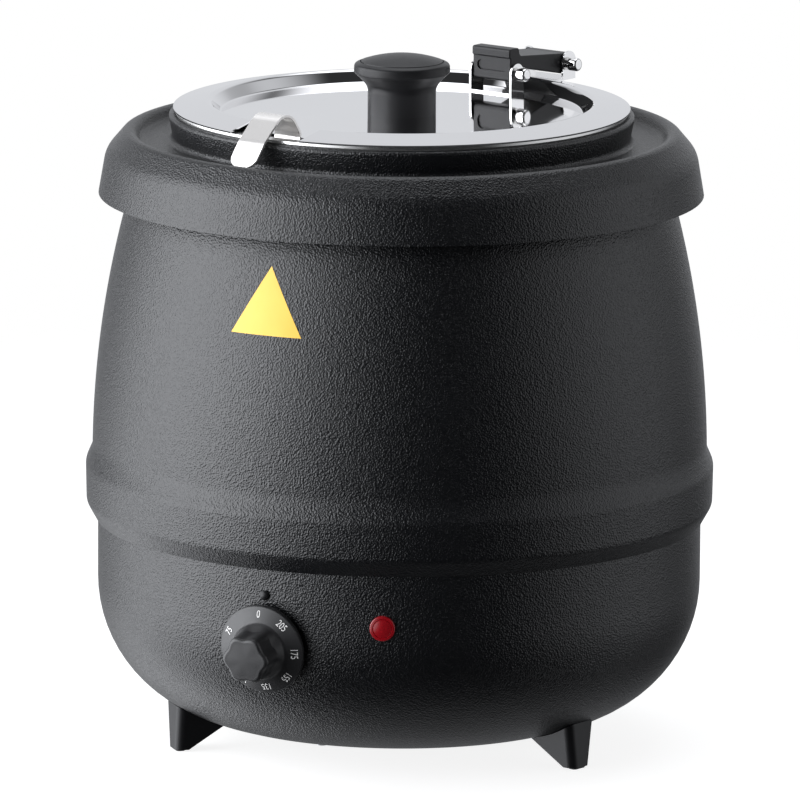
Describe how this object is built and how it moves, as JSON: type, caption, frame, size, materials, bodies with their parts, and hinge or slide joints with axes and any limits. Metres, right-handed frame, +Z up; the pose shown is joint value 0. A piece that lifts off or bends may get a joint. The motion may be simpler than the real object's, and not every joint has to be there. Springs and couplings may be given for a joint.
{
  "type": "soup kettle",
  "caption": "Round electric countertop soup kettle: black barrel body, lift-out steel pot, hinged lid with ladle notch, dial, lamp and three feet.",
  "frame": {"origin": "on the kettle's vertical axis at the counter, in the plane of the three foot pads", "axes": "+Z up, -Y towards the user at the dial side, +X to the user's right"},
  "size_m": [0.3399, 0.3568, 0.3745],
  "materials": {
    "black_enamel": "leather-grain powder coat, satin",
    "black_steel": "plain black paint",
    "stainless": "polished stainless steel",
    "polished_lid": "mirror polished stainless steel",
    "bright_steel": "bright plated steel",
    "zinc_steel": "zinc plated steel",
    "black_phenolic": "moulded phenolic, satin",
    "black_rubber": "matt",
    "silicone": "matt dark silicone",
    "mineral_wool": "felted mineral wool",
    "heater_sheath": "dull oxidised sheath",
    "copper": "drawn copper",
    "brass": "plain brass",
    "cream_plastic": "moulded thermoset",
    "white_nylon": "moulded nylon",
    "red_lens": "clear red moulding",
    "wire_black": "insulated wire",
    "wire_white": "insulated wire",
    "wire_green": "insulated wire",
    "wire_red": "heat-proof sleeved wire",
    "amber_vinyl": "printed vinyl, blank"
  },
  "bodies": {
    "housing": {"lower_shell": "black_enamel", "upper_shell": "black_enamel", "top_collar": "black_enamel", "base_cover": "black_steel", "base_cover_screws": "zinc_steel", "foot_front_left": "black_phenolic", "foot_front_right": "black_phenolic", "foot_rear": "black_phenolic", "foot_pads": "black_rubber", "foot_screws": "zinc_steel", "well_pan": "stainless", "well_seal": "silicone", "insulation_blanket": "mineral_wool", "heater_ring": "heater_sheath", "heater_clamp": "zinc_steel", "centre_stud": "zinc_steel", "centre_nuts": "zinc_steel", "thermal_cutout": "cream_plastic", "cutout_terminals": "brass", "sensor_bulb": "copper", "bulb_clip": "zinc_steel", "thermostat_body": "black_phenolic", "thermostat_terminals": "brass", "thermostat_screws": "zinc_steel", "index_stud": "black_phenolic", "lamp_lens": "red_lens", "lamp_body": "white_nylon", "lamp_nut": "zinc_steel", "lamp_terminals": "zinc_steel", "terminal_block": "cream_plastic", "terminal_screws": "brass", "cord_gland": "black_rubber", "power_cord": "black_rubber", "plug_body": "black_rubber", "plug_pins": "brass", "wire_live": "wire_black", "wire_neutral": "wire_white", "wire_earth": "wire_green", "earth_stud": "zinc_steel", "earth_nut": "zinc_steel", "heater_leads": "wire_red", "lamp_leads": "wire_white", "front_sticker": "amber_vinyl"},
    "knob": {"control_knob": "black_phenolic", "thermostat_shaft": "zinc_steel"},
    "pot": {"inner_pot": "stainless", "pot_clip": "polished_lid", "pot_clip_rivets": "bright_steel", "rear_hinge_bracket": "bright_steel", "rear_hinge_pin": "bright_steel"},
    "link": {"hinge_link": "black_phenolic"},
    "lid": {"lid_panel": "polished_lid", "lid_knob": "black_phenolic", "lid_knob_screw": "zinc_steel", "lid_knob_washer": "zinc_steel", "front_hinge_bracket": "bright_steel", "front_hinge_pin": "bright_steel"}
  },
  "joints": [
    {"name": "pot_lift", "type": "slide", "parent": "housing", "child": "pot", "axis": [0, 0, 1], "range_m": [0, 0.26]},
    {"name": "link_swing", "type": "hinge", "parent": "pot", "child": "link", "pos_m": [0.05154, 0.12261, 0.3535], "axis": [-0.9219, 0.3875, 0], "range_deg": [0, 80]},
    {"name": "lid_tilt", "type": "hinge", "parent": "link", "child": "lid", "pos_m": [0.03313, 0.07882, 0.3538], "axis": [-0.9219, 0.3875, 0], "range_deg": [0, 20]},
    {"name": "knob_turn", "type": "hinge", "parent": "housing", "child": "knob", "pos_m": [-0.03248, -0.15965, 0.08001], "axis": [0.1981, 0.9736, 0.1132], "range_deg": [0, 315]}
  ],
  "couplings": [
    {"joint": "lid_tilt", "follows": "link_swing", "ratio": 0.25}
  ]
}
